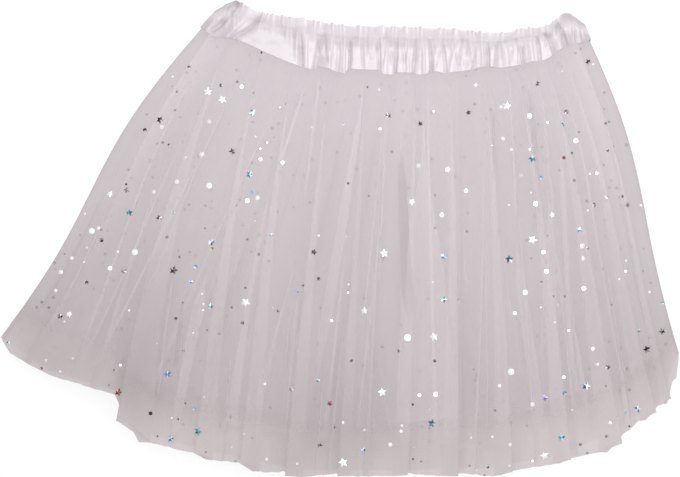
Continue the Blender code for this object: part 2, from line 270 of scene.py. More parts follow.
# Rings of pleated net
tulle = {
    "rows": 46,
    "heldTo": 0.035,  # share of the length down to which the band holds the folds flat
    "tuckFrom": 0.075,  # share above which they have no depth yet
    "heldTop": 0.10, "heldLow": 0.15,  # share of a fold's depth while it is held
    "foldTurn": 0.85, "foldCover": 1.2,  # radius of a large fold's turn, and cloth beyond it
    "foldLight": 0.5, "lightFrom": 0.08, "lightTo": 0.35,  # how dense a fold's edge looks, and from where
    "waistSpread": 0.64,  # how far its parts lie from each other at the waist
    "pleatTurn": 0.28, "pleatCover": 0.45,  # the same for a small pleat
    "bodyLight": 0.3, "slotShadeDepth": 1.3, "edgeLight": 0.55,  # how dense a pleat and an edge look, and how deep a dark slot's painted shade is
    "edgeDrop": 0.6,  # how far the layer under a bright pleat hangs back
    "nearest": 0.2,  # of an even spacing, the least between two pleats
    "lastPleat": 0.97,  # share of a gap that the last pleat keeps to
    "pleatRoom": 0.92,  # share of its room that a pleat takes at most
    "stretchSteps": 3,  # columns between two pleats
    "edgeRipple": 0.175,  # the cut hem is a little uneven
    "hemBacking": 0.95,  # how dense the front gets by itself where it reaches past the back
    "backingFrom": 50.0, "backingTo": 3.0, "backingCurve": 1.7,  # from and to mm above the back's hem
    "backingLight": 0.5,  # how much its folds brighten it there
    "leastColumn": 0.15,
    "scatter": 0.8,  # how far the light goes round a small fold
    "crease": {  # how one that shows is placed between two lines, in shares of the gap and of its length
        "beside": (0.06, 0.94),  # where it starts if it comes from the gap to the left or right
        "from": 0.05, "to": 0.95, "shortest": 0.05,
        "full": 0.25, "broad": 20, "broadFull": 0.6, "narrows": 0.75,  # a broad one opens more slowly
        "nearHem": 0.93, "pastHem": (1.2, 1.3),  # one that ends near the hem runs on through it
    },
    "small": {  # pleats that fill the sheets between those creases
        "jitter": 0.35,  # of an even spacing
        "opens": (0.02, 0.05, 0.1, 0.25, 0.45),
        "deepens": (0.2, 0.6), "deepest": 0.95,
        "narrows": (1.2, 1.2, 0.8, 0.6), "ends": 0.2, "leastFade": 0.02,
        "outwards": 0.85,  # share that face the nearer side fold, at the sides
        "shallow": 1.8,  # the more, the fewer deep ones
        "sway": 0.03, "from": 0.04, "to": 0.96,
        "wide": 0.8,
        "light": 0.12,
        "clear": 3.0, "clearShare": 0.07,  # mm and share of a gap kept clear of other pleats
    },
    "pale": {  # where the outer ring lies alone it looks paler, by a lift that grows over a distance in mm
        "beside": 0.15, "besideReach": 24.0, "besideFrom": 0.15, "besideTo": 0.6,
        "edge": 0.11, "edgeFrom": 20.0, "edgeTo": 8.0,
        "frontHem": 0.31, "frontHemBacking": 0.2,
        "backHem": 0.28, "backHemFrom": 30.0, "backHemTo": 8.0,
    },
}

# One point of a sheet: place in plan, rise in a fold, share of a soft wave, and how dense the net looks
Spot = namedtuple("Spot", "x y rise wave dense")

# A small pleat between two lines. at: share of the gap at its start and at the hem; the four shares of
# length say where it opens, is deepest, narrows and ends; wide in mm at its start and end; facing -1 left or
# 1 right; body: how dense it looks, below 0 where a thin slot between folds is given painted shade; edge:
# the light on its edge
Pleat = namedtuple("Pleat", "atStart atHem opens deepest narrows ends wideStart wideEnd facing body edge")

# The creases that show, by the start and end of their middles in plan
Crease = namedtuple("Crease", "startX startY endX endY wideStart wideEnd facing body edge")
outerCreases = tableOf(
    Crease,
    (-90.5, -16.1, -119.9, -120.6, 9.0, 5.0, -1, 0.8, 0.5),
    (-111.2, -28.1, -121.9, -93.8, 2.0, 4.0, -1, -0.7, 0.0),
    (-133.3, -16.1, -142.7, -95.1, 3.0, 9.0, 1, 0.6, 0.5),
    (-12.1, 109.9, -24.1, 20.1, 8.0, 3.0, -1, 0.6, 0.5),
    (-14.7, -87.1, -23.5, -155.4, 1.2, 1.0, -1, 0.7, 1.0),
    (4.7, -52.3, -6.7, -139.4, 1.4, 2.0, -1, 0.5, 0.8),
    (22.8, 95.8, 21.4, -44.9, 2.2, 1.6, -1, 0.4, 0.6),
    (51.6, 88.4, 54.3, 48.9, 1.6, 1.6, 1, -0.8, 0.0),
    (59.0, 95.1, 61.0, 18.8, 6.0, 9.0, 1, 0.5, 0.9),
    (-34.2, -45.6, -39.5, -92.5, 1.4, 1.2, -1, 0.3, 0.6),
    (-27.5, -34.8, -36.2, -138.0, 3.0, 7.0, -1, 0.55, 0.3),
    (98.5, 79.1, 95.1, -139.4, 1.4, 1.6, 1, 0.6, 0.9),
    (112.6, 117.9, 112.6, 10.7, 10.0, 14.0, 1, 0.4, 0.2),
    (193.0, -88.4, 195.0, -124.6, 5.0, 5.0, 1, 0.8, 0.8),
    (174.2, 48.9, 178.2, -61.6, 6.0, 9.0, 1, 0.4, 0.2),
)
underCreases = tableOf(
    Crease,
    (17.4, 103.2, -16.8, -103.2, 5.0, 8.0, 1, 0.35, 0.5),
    (-45.6, 34.8, -72.4, -128.6, 3.0, 17.0, -1, 0.5, 0.4),
    (-65.7, 0.0, -86.4, -127.3, 3.0, 5.0, -1, -0.7, 0.0),
    (-51.6, -61.6, -54.9, -130.0, 1.2, 1.6, -1, 0.4, 0.6),
    (18.8, -41.5, 29.5, -135.3, 2.0, 11.0, 1, -0.7, 0.0),
    (41.0, 70.0, 48.0, -70.0, 5.0, 9.0, 1, -2.0, 1.0),
    (102.5, 95.8, 103.9, 28.1, 3.0, 3.0, -1, -0.8, 0.0),
    (105.2, -31.5, 107.2, -135.3, 1.4, 1.6, 1, 0.4, 0.7),
    (117.2, -1.3, 134.7, -131.3, 6.0, 8.0, -1, 0.7, 0.6),
    (147.4, 59.0, 155.4, -108.5, 4.0, 8.0, 1, 0.5, 0.5),
    (-32.2, 99.2, -36.2, 45.6, 3.0, 2.0, -1, 0.4, 0.6),
)
underBackCreases = tableOf(
    Crease,
    (16.1, 99.2, 14.7, 22.1, 4.0, 3.0, -1, -0.6, 0.0),
    (57.0, 92.0, 58.5, -143.4, 12.0, 42.0, 1, 2.0, 0.5),
    (84.0, -15.0, 87.5, -135.0, 4.0, 12.0, 1, -0.8, 0.0),
    (112.6, -34.8, 119.9, -136.7, 4.0, 17.0, 1, -0.5, 0.0),
    (126.6, 107.2, 129.3, -8.0, 9.0, 13.0, -1, -2.2, 0.0),
    (131.3, -34.8, 137.3, -115.2, 5.0, 6.0, 1, -0.5, 0.0),
    (140.0, 25.5, 144.7, -130.0, 9.0, 9.0, -1, 0.6, 0.5),
)


def foldShare(down):
    # folds are pressed flat where the band holds them
    held = mix(tulle["heldTop"], tulle["heldLow"], ramp(down, 0.0, tulle["heldTo"]))
    return mix(held, 1.0, ramp(down, tulle["heldTo"], tulle["tuckFrom"]))


def lineStart(line, spread=0.0):
    return mix(sewnLine[0].x, sewnLine[-1].x, line.waist) + spread


def lineBend(line, down):
    return line.bow * math.sin(math.pi * down) + line.flare * math.sin(2 * math.pi * down)


def lineX(line, down):
    return mix(lineStart(line), line.hemX, down) + lineBend(line, down)


def lineSpots(line, down):
    # through an S-shaped fold, or one spot where there is none
    out = {"left": -1, "none": 0, "right": 1}[line.turn]
    deep = ramp(down, tulle["tuckFrom"], 1.0)
    deepX, deepY = (line.underX - line.hemX) * deep, (line.underY - line.hemY) * deep
    meet = (line.meetY - line.hemY) * down
    turn, cover = tulle["foldTurn"], tulle["foldCover"]
    curl = min(turn, abs(deepX) / 3)
    steep = (1 - curl / turn) / 3
    under, over = out * turn + deepX, -out * cover + deepX
    path = [  # offset in x and y from the edge that shows, height in turns, density
        (out * cover, meet, 0, 0.0),
        (mix(out * cover, under, 0.7), deepY, 0, 0.0),
        (under, deepY, 0, 0.0),
        (deepX, deepY, 1, 0.2),
        (out * curl + deepX, deepY, 2 - steep, 0.0),
        (-out * curl, 0, 2 + steep, 0.2),
        (0, 0, 3, 1.0),
        (-out * turn, 0, 4, 0.35),
        (mix(-out * turn, over, 0.3), 0, 4, 0.0),
        (over, deepY, 4, 0.0),
    ]
    if out == 0:
        path = [(0, 0, 0, 0.0)]
    elif out > 0:
        path.reverse()
    fold = foldShare(down)
    spots = []
    for k, (over, along, turns, dense) in enumerate(path):
        spread = (k - (len(path) - 1) / 2) * tulle["waistSpread"] * (1 - fold)
        start = lineStart(line, spread)
        x = mix(start, line.hemX, down) + lineBend(line, down) + over
        y = mix(sewnY(start), line.hemY, down) + along
        light = tulle["foldLight"] * line.bright * dense * ramp(down, tulle["lightFrom"], tulle["lightTo"])
        spots.append(Spot(x, y, turns * turn * fold, 0.0, light))
    return spots


def crestWave(share, waves, number):
    # soft rounded waves
    at = share * waves
    return math.sin(math.pi * at) ** 2 * varied(number + int(min(at, waves - 0.01)))


def ridgeWave(share, waves, number):
    # narrow ridges beside strips that lie flat on the surface
    at = share * waves
    near = ramp(1 - abs((at % 1.0) - 2 / 3) * 3, 0, 1)
    return smooth(near) * varied(number + int(min(at, waves - 0.01)))


def pleatShare(pleat, down):
    opening = smooth(ramp(down, pleat.opens, pleat.deepest))
    closing = smooth(ramp(down, pleat.narrows, pleat.ends))
    return opening * (1 - closing)


def pleatWidth(pleat, down):
    along = ramp(down, pleat.opens, min(1.0, pleat.ends))
    return mix(pleat.wideStart, pleat.wideEnd, along) * pleatShare(pleat, down)


def stretchTo(path, end, top):
    # plain cloth from the last point of a path to a place further along, at the height top
    start, bottom = path[-1][0], path[-1][2]
    for step in range(1, tulle["stretchSteps"] + 1):
        t = step / (tulle["stretchSteps"] + 1)
        path.append((start + (end - start) * t, 0.0, mix(bottom, top, t), 0.0))


def pleatShape(pleat, centre, half, down):
    # along, offset in y, height and density through an S-shaped pleat
    turn = tulle["pleatTurn"]
    deep = max(0.0, 2 * (half - tulle["pleatCover"]))
    curl = min(turn, deep / 2.5)
    shown = pleatShare(pleat, down)
    # a body below 0 gives a slot between folds painted shade
    body = tulle["bodyLight" if pleat.body > 0 else "slotShadeDepth"] * pleat.body * shown
    edge = tulle["edgeLight"] * pleat.edge * shown
    drop = tulle["edgeDrop"] * pleat.edge * down
    left, right = centre - deep / 2, centre + deep / 2
    shape = [  # its edge faces left, from the layer beneath to the one on top
        (centre - half, 0.0, 0, 0.0),
        (right - curl, drop, 0, 0.0),
        (right, drop, 1, 0.25 * edge),
        (right - curl, drop, 2, 0.8 * body),
        (left + curl, 0.0, 2, body),
        (left, 0.0, 3, edge),
        (left + curl, 0.0, 4, 0.3 * edge),
        (centre + half, 0.0, 4, 0.0),
    ]
    if pleat.facing > 0:
        shape = [(2 * centre - a, y, h, d) for a, y, h, d in reversed(shape)]
    return [(a, y, h * curl, d) for a, y, h, d in shape]


def gapSpots(first, last, pleats, waves, wave, number, down):
    # from one line to the next: stretches of plain cloth with small S-shaped pleats between them
    length = max(0.5, last.x - first.x)
    centres, wants = [0.0], [0.0]
    for pleat in pleats:
        at = mix(pleat.atStart, pleat.atHem, ramp(down, pleat.opens, 1.0)) * length
        centres.append(max(at, centres[-1] + tulle["nearest"] * length / (len(pleats) + 1)))
        wants.append(pleatWidth(pleat, down) + 2 * tulle["pleatCover"])
    overshoot = max(0.0, centres[-1] - tulle["lastPleat"] * length)
    centres = [c - overshoot * c / max(centres[-1], 0.01) for c in centres] + [length]
    wants.append(0.0)
    path = [(0.0, 0.0, 0.0, 0.0)]  # along the gap, offset in y, rise, density
    for k, pleat in enumerate(pleats, 1):
        before = (centres[k] - centres[k - 1]) * wants[k] / (wants[k] + wants[k - 1])
        after = (centres[k + 1] - centres[k]) * wants[k] / (wants[k] + wants[k + 1])
        half = min(wants[k] / 2, tulle["pleatRoom"] * before, tulle["pleatRoom"] * after)
        shape = pleatShape(pleat, centres[k], half, down)
        stretchTo(path, shape[0][0], shape[0][2])
        path += shape
    stretchTo(path, length, 0.0)
    spots = []
    for along, aside, high, dense in path[1:]:
        t = along / length
        spots.append(Spot(
            mix(first.x, last.x, t), mix(first.y, last.y, t) + aside,
            mix(first.rise, last.rise, t) + high, wave(t, waves, number) if waves else 0.0, dense,
        ))
    return spots


def hemY(lines, x):
    left, right = neighbours(lines, x, "hemX")
    return mix(left.hemY, right.hemY, ramp(x, left.hemX, right.hemX))


def gapOf(lines, x, down):
    # the gap that a place in a row falls in, and its share across that gap
    for k, (line, after) in enumerate(zip(lines, lines[1:])):
        if x <= lineX(after, down):
            break
    return k, ramp(x, lineX(line, down), lineX(after, down))


def creasePleat(lines, crease):
    # the gap between two lines that a crease lies in, and the crease as a pleat there
    placing = tulle["crease"]
    drop = sewnY(crease.endX) - hemY(lines, crease.endX)
    opens = ramp(sewnY(crease.startX) - crease.startY, 0, drop)
    ends = ramp(sewnY(crease.endX) - crease.endY, 0, drop)
    gap, atHem = gapOf(lines, crease.endX, ends)
    startGap, atStart = gapOf(lines, crease.startX, opens)
    if startGap != gap:
        atStart = placing["beside"][startGap > gap]
    slope = (atHem - atStart) / max(placing["shortest"], ends - opens)
    atHem = min(placing["to"], max(placing["from"], atStart + slope * (1 - opens)))
    broad = crease.wideEnd >= placing["broad"]
    full = mix(opens, ends, placing["broadFull" if broad else "full"])
    narrows, stops = mix(opens, ends, placing["narrows"]), ends
    if ends > placing["nearHem"]:
        narrows, stops = placing["pastHem"]
    return gap, Pleat(atStart, atHem, opens, full, narrows, stops, *crease[4:])


def smallPleat(at, leftwards, deep, rng):
    # leftwards: the chance that its edge faces left
    small = tulle["small"]
    opens = rng.choice(small["opens"])
    deepest = min(small["deepest"], opens + rng.uniform(*small["deepens"]))
    narrows = max(rng.choice(small["narrows"]), deepest)
    facing = -1 if rng.random() < leftwards else 1
    wideEnd = mix(small["wide"], deep, rng.random() ** small["shallow"])
    atHem = min(small["to"], max(small["from"], at + rng.uniform(-small["sway"], small["sway"])))
    ends = narrows + small["ends"]
    narrows = max(narrows, deepest + small["leastFade"])
    body, edge = rng.uniform(0.0, small["light"]), rng.uniform(0.0, small["light"])
    return Pleat(at, atHem, opens, deepest, narrows, ends, small["wide"], wideEnd, facing, body, edge)


def layPleats(lines, creases, spacing, deep, rng):
    # the creases that catch the light first, then small uneven pleats wherever there is room
    pleats = [[] for _ in lines[1:]]
    for crease in creases:
        gap, pleat = creasePleat(lines, crease)
        pleats[gap].append(pleat)
    small = tulle["small"]
    for k, (line, after) in enumerate(zip(lines, lines[1:])):
        leftwards = mix(small["outwards"], 1 - small["outwards"], (k + 0.5) / len(pleats))
        room = after.hemX - max(line.hemX, line.underX)
        count = round(room / spacing)
        for n in range(count):
            at = (n + 0.5 + rng.uniform(-small["jitter"], small["jitter"])) / count
            pleat = smallPleat(at, leftwards, deep, rng)
            clear = [max(small["clearShare"] * room, p.wideEnd / 2 + small["clear"]) for p in pleats[k]]
            apart = [abs(pleat.atHem - p.atHem) * room for p in pleats[k]]
            if all(a > c for a, c in zip(apart, clear)):
                pleats[k].append(pleat)
        pleats[k].sort(key=lambda p: p.atHem)
    return pleats


def sheetRow(lines, pleats, wave, down):
    spots = lineSpots(lines[0], down)
    for number, (line, after) in enumerate(zip(lines, lines[1:])):
        new = lineSpots(after, down)
        spots += gapSpots(spots[-1], new[0], pleats[number], line.waves, wave, 3 * number, down) + new
    return spots


def rowShares():
    held = [0.0, 0.02, 0.04, 0.06]
    hem = [0.96, 0.97, 0.98, 0.99, 1.0]
    free = tulle["rows"] - len(held) - len(hem)
    return held + [mix(0.08, 0.95, k / (free - 1)) for k in range(free)] + hem


# Plan place, height, density, which side of the ring, and tone, for one point of a ring
RingSpot = namedtuple("RingSpot", "x y z dense backing tone")

# Broad patches, by middle and reach in plan, where the net's tone is made paler or darker
Cloud = namedtuple("Cloud", "x y wide high lift")
clouds = tableOf(
    Cloud,
    (-62.0, 22.0, 36.0, 85.0, 0.05),
    (96.0, 40.0, 30.0, 60.0, -0.03),
    (68.0, 50.0, 40.0, 70.0, 0.04),
    (118.0, -20.0, 20.0, 60.0, 0.03),
    (-2.0, -122.0, 36.0, 34.0, -0.10),
    (-136.0, -82.0, 16.0, 44.0, -0.12),
    (-122.0, -42.0, 12.0, 36.0, -0.05),
    (-75.0, -134.0, 34.0, 12.0, 0.06),
    (184.0, -108.0, 26.0, 16.0, 0.07),
    (-195.0, -84.0, 36.0, 14.0, -0.12),
    (-146.0, -100.0, 24.0, 14.0, -0.10),
    (-40.0, -150.0, 50.0, 10.0, -0.07),
    (60.0, -126.0, 24.0, 10.0, 0.08),
    (150.0, -132.0, 44.0, 14.0, 0.10),
    (84.0, -42.0, 36.0, 74.0, 0.03),
    (-156.0, 18.0, 44.0, 44.0, 0.03),
)


def netTone(x, y, down, backing):
    side, pale = fromSide(x, y), tulle["pale"]
    beside = pale["beside"] * ramp(side, pale["besideReach"], 0)
    beside *= ramp(down, pale["besideFrom"], pale["besideTo"])
    edge = pale["edge"] * ramp(side, pale["edgeFrom"], pale["edgeTo"])
    if backing < 1:
        atHem = pale["frontHem"] * ramp(backing, 0, pale["frontHemBacking"])
    else:
        atHem = pale["backHem"] * ramp(y - hemY(outerBack, x), pale["backHemFrom"], pale["backHemTo"])
    tone = max(beside, edge, atHem)
    for cloud in clouds:
        tone += cloud.lift * math.exp(-((x - cloud.x) / cloud.wide) ** 2 - ((y - cloud.y) / cloud.high) ** 2)
    return tone


def sideRow(lines, pleats, wave, ply, down, endPly, behind=None):
    # one row of a front or a back; behind: the lines of the back that a front reaches past
    made = []
    spots = sheetRow(lines, pleats, wave, down)
    for at, spot in enumerate(spots):
        z = plyHeight(ply, spot.x, spot.y) + spot.rise
        z += stack["waveRise"][ply] * spot.wave * loft(spot.x, spot.y)
        if at in (0, len(spots) - 1):
            z = plyHeight(endPly, spot.x, spot.y)  # the side folds
        ripple = math.sin(spot.x * 0.31) + math.sin(spot.x * 0.83 + 1.0)
        y = spot.y + tulle["edgeRipple"] * ripple * ramp(down, 0.9, 1.0)
        backing = 1.0 if ply < 2 else 0.0
        if behind:
            past = ramp(y - hemY(behind, spot.x), tulle["backingFrom"], tulle["backingTo"])
            backing = tulle["hemBacking"] * past ** tulle["backingCurve"]
        tone = 0.0
        if ply in (0, 3):
            tone = netTone(spot.x, y, down, backing) + tulle["backingLight"] * backing * spot.dense
        made.append(RingSpot(spot.x, y, z, spot.dense, backing, tone))
    return made


def turned(front, back, bulge):
    # a rounded turn at a side fold, between the last spot of one side and the first of the other
    backing = (front.backing + back.backing) / 2
    return RingSpot(front.x + bulge, front.y, (front.z + back.z) / 2, 0.6, backing, front.tone)


def ringMesh(ring):
    # a tube of cloth laid flat: its front from left to right, then its back from right to left
    rng = random.Random(ring["seed"])
    front, back, frontPly, backPly = ring["front"], ring["back"], ring["frontPly"], ring["backPly"]
    frontPleats = layPleats(front, ring["creases"], ring["spacing"], ring["deep"], rng)
    backPleats = layPleats(back, ring["backCreases"], 2 * ring["spacing"], ring["deep"], rng)
    rows = []
    for down in rowShares():
        upper = sideRow(front, frontPleats, crestWave, frontPly, down, min(frontPly, backPly + 1),
                        back if backPly == 0 else None)
        lower = sideRow(back, backPleats, ring["backWave"], backPly, down, backPly)
        lower.reverse()
        rows.append(upper + [turned(upper[-1], lower[0], 0.5)] + lower + [turned(upper[0], lower[-1], -0.5)])
    count = len(rows[0])
    gone = [0.0] * (count + 1)
    sampled = [rows[int(share * (len(rows) - 1))] for share in (0.6, 0.8, 1.0)]
    for k in range(count):
        here = [math.dist(row[k][:3], row[(k + 1) % count][:3]) for row in sampled]
        gone[k + 1] = gone[k] + max(tulle["leastColumn"], sum(here) / len(here))
    return tubeMesh(rows, ("dense", "backing", "tone"), gone, rowShares(), ring["length"])


def softenNormals(piece):
    # yarn scatters light all round, so the net is shaded more by its lie than by its small folds
    mesh = piece.data
    normals = []
    for face in mesh.polygons:
        up = Vector((0, 0, math.copysign(1, face.normal.z)))
        for index in face.vertices:
            normal = mesh.vertices[index].normal
            if normal.z * up.z < 0:
                normal = face.normal
            normals.append(normal.lerp(up, tulle["scatter"]).normalized())
    mesh.normals_split_custom_set(normals)


def tulleMaterial(name, look):
    # Nylon bobbin net, heat set and soft: an open mesh of fine white yarn. The eye sees a pale veil that is
    # denser where layers and folds overlap, with bright lines on the fold edges and a faint grid.
    material, add = newMaterial(name)
    place = add("UVMap", uv_map="cloth")
    along = add("SeparateXYZ", {"Vector": place}).outputs["Y"]
    down = add("MapRange", {"Value": along, "From Min": 0.02, "From Max": 0.28})
    fold, backing, tone = [
        add("Attribute", attribute_name=layer).outputs["Fac"] for layer in ("dense", "backing", "tone")
    ]
    # crease streaks that run down the cloth, narrow and broad
    creases = add("Mapping", {"Vector": place, "Scale": (430.0, 7.0, 1.0)})
    fine = add("TexNoise", {"Vector": creases, "Scale": 1.0, "Detail": 2.0})
    streak = add("MapRange", {"Value": fine, "From Min": 0.56, "From Max": 0.74})
    folds = add("Mapping", {"Vector": place, "Scale": (70.0, 5.0, 1.0), "Location": (3.1, 1.7, 0.0)})
    broad = add("TexNoise", {"Vector": folds, "Scale": 1.0, "Detail": 3.0})
    bands = add("MapRange", {"Value": broad, "From Min": 0.3, "From Max": 0.7, "To Min": -1.0})
    # the net: 1 mm holes, drawn at 2.3 mm so that they show
    net = None
    for angle in (0.5, 2.64, 1.57):
        swung = add("Mapping", {"Vector": place, "Rotation": (0.0, 0.0, angle)})
        yarn = add("TexWave", {"Vector": swung, "Scale": 0.314 / 0.0023, "Distortion": 0.6,
                               "Detail": 1.0, "Detail Scale": 0.4})
        net = yarn if net is None else add("Math", {0: net, 1: yarn})
    grid = add("MapRange", {"Value": net, "From Min": 0.4, "From Max": 2.6, "To Min": -1.0})
    # how much of the surface is yarn
    veil = add("MapRange", {"Value": backing, "To Min": look["veil"], "To Max": look["backVeil"]})
    gathered = add("MapRange", {"Value": down, "From Max": 0.55, "To Min": look["gathered"], "To Max": 0.0})
    share = add("Math", {0: veil, 1: gathered})
    edge = add("Math", {0: fold}, operation="ABSOLUTE")
    for source, amount in (edge, "edge"), (streak, "streak"), (bands, "band"), (grid, "net"):
        share = add("Math", {0: source, 1: look[amount], 2: share}, operation="MULTIPLY_ADD")
    alpha = add("Math", {0: share, 1: 0.0}, use_clamp=True)
    # its colour: from waist to hem, behind, with painted shade in the slots between pleats, and by tone
    front, back = [
        add("Mix", {0: down, 6: look[waist], 7: look[hem]}, data_type="RGBA").outputs[2]
        for waist, hem in (("waist", "hem"), ("backWaist", "backHem"))
    ]
    behind = add("MapRange", {"Value": backing, "From Max": 0.2})
    cast = add("Mix", {0: behind, 6: front, 7: back}, data_type="RGBA").outputs[2]
    # painted shade: where a pleat's body is below 0, its thin slot between folds turns to the slot's shade
    # colour
    slotShade = add("MapRange", {"Value": fold, "From Max": -1.0})
    dim = add("Mix", {0: slotShade, 6: cast, 7: look["slotShade"]}, data_type="RGBA").outputs[2]
    shaded = add("MapRange", {"Value": bands, "From Min": -1.0, "To Min": 0.98, "To Max": 1.02})
    toned = add("HueSaturation", {"Color": dim, "Value": add("Math", {0: shaded, 1: tone})})
    shader = add("BsdfPrincipled", {"Base Color": toned, "Roughness": 0.62, "Alpha": alpha,
                                    "Specular IOR Level": 0.2, "Sheen Weight": 0.15})
    add("OutputMaterial", {0: shader})
    return material


outerRing = {
    "name": "outer_tulle_ring",
    "front": outerFront, "back": outerBack, "frontPly": 3, "backPly": 0, "backWave": ridgeWave,
    "creases": outerCreases, "backCreases": [],
    "spacing": 28.0, "deep": 5.0, "seed": 11,
    "flatWidth": 0.98, "length": 285.0,  # waist to hem along the cloth
    "look": {
        "veil": 0.20, "backVeil": 0.94, "gathered": 0.03,
        # the slot colour is the painted shade of the slots between pleats
        "edge": 0.20, "streak": 0.03, "band": 0.02, "net": 0.012, "slotShade": "8f858a",
        "waist": "d9d1d5", "hem": "c7bec1", "backWaist": "b9b3b5", "backHem": "aca4a6",
    },
}
underRing = {
    "name": "under_tulle_ring",
    "front": underFront, "back": underBack, "frontPly": 2, "backPly": 1, "backWave": crestWave,
    "creases": underCreases, "backCreases": underBackCreases,
    "spacing": 32.0, "deep": 7.0, "seed": 23,
    "flatWidth": 0.80, "length": 265.0,
    "look": {
        "veil": 0.12, "backVeil": 0.12, "gathered": 0.07,
        "edge": 0.12, "streak": 0.02, "band": 0.04, "net": 0.012, "slotShade": "8f858a",
        "waist": "e8e1e5", "hem": "dad2d5", "backWaist": "e6dfe3", "backHem": "dad2d5",
    },
}

print("under ring of plain tulle")
underMesh = ringMesh(underRing)
underPiece = newPiece(underRing["name"], underMesh, tulleMaterial("plainNylonNet", underRing["look"]))
softenNormals(underPiece)
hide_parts("under_tulle_front", "under_tulle_back")

print("outer ring of star tulle")
outerMesh = ringMesh(outerRing)
outerTree = BVHTree.FromBMesh(outerMesh)
outerPiece = newPiece(outerRing["name"], outerMesh, tulleMaterial("starNylonNet", outerRing["look"]))
softenNormals(outerPiece)
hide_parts("outer_tulle_front", "outer_tulle_back")

# Waistband: a satin casing drawn up by the elastic inside it
Station = namedtuple("Station", "topX topY lowX lowY")
bandStations = tableOf(
    Station,
    (-82.4, 152.8, -92.5, 141.4), (-71.0, 158.8, -84.5, 134.8),
    (-64.3, 157.0, -71.0, 132.0), (-53.6, 151.4, -60.0, 128.0),
    (-26.8, 147.4, -26.8, 115.5), (3.4, 142.7, 3.4, 111.2),
    (36.2, 141.7, 34.8, 110.2), (72.4, 140.4, 72.4, 110.6),
    (105.9, 137.4, 104.5, 113.4), (121.9, 140.4, 120.6, 116.6),
    (138.0, 142.0, 137.4, 120.6), (146.0, 147.5, 147.4, 128.0),
    (153.0, 150.8, 157.5, 131.0), (164.0, 143.6, 168.2, 132.6),
)

band = {
    "name": "satin_waistband",
    "columns": 560, "backColumns": 300, "rows": 30, "rowCurve": 1.15,
    "heading": 0.26,  # share of the width above the elastic
    "frills": 66, "frillRise": 1.7, "frillSway": 1.0,
    "frillBelow": 0.3, "frillFade": 0.3,  # how much of a frill goes on below the elastic, and how far
    "topZ": 3.9, "lowZ": 9.9, "endZ": 5.6,  # height of its top, its lower edge and the latter's two ends
    "climb": 0.5,  # share of the width over which it climbs onto the skirt
    "seamDip": 0.5, "seamWide": 0.035,
    "end": 5.0,  # its ends flatten out over this length
    "leftEar": (-62.0, -68.0), "rightEar": (146.0, 152.0),  # where the band turns up at its ends
    "earRise": 0.6, "earSway": 0.7,  # how much flatter the frills lie there
    "pressFade": 0.12,  # share of the width over which a crease fades in and out
    "pressReach": 3, "pressSharp": 0.4,  # how far it reaches in widths, and how wide its sharp side is
    "thickness": 0.8,
    "backZ": 0.5, "backRise": 0.8, "backFrills": 40, "backFade": 0.45, "setback": 1.6,
    "bends": (0.12, 0.3, 0.5, 0.7, 0.88),
    "flatWidth": 0.66, "flatLength": 30.0,
    "seed": 5,
    "shade": {  # how far creases, frills, the heading, the seam and the ends' tops tell in the satin's painted shade and highlight
        "crease": 0.4, "frill": 1.6, "frillMiddle": 0.25, "heading": 0.4, "seam": 0.5,
        "ear": 1.6, "earDepth": 0.3,
        "lit": 1.0, "dark": -2.0,
    },
    # net covers the ends, from one place along x to the next: the left one below a share of the width, the
    # right one above the second share and below the third; each share is given with its fade
    "veil": {
        "left": (-64.0, -76.0), "right": (147.0, 152.0),
        "below": ((0.3, 0.45), (0.14, 0.2), (0.5, 0.3)),
    },
    "wrinkle": {  # small creases by chance
        "count": 150, "span": (-82, 160), "none": (-64, -32),  # along x, and where none lie
        "starts": (0.14, 0.2, 0.26, 0.5), "long": (0.12, 0.6), "slant": (-6, 6),
        "wide": (0.6, 1.5), "rise": (-0.7, 0.5), "bow": (-2, 2),
    },
}

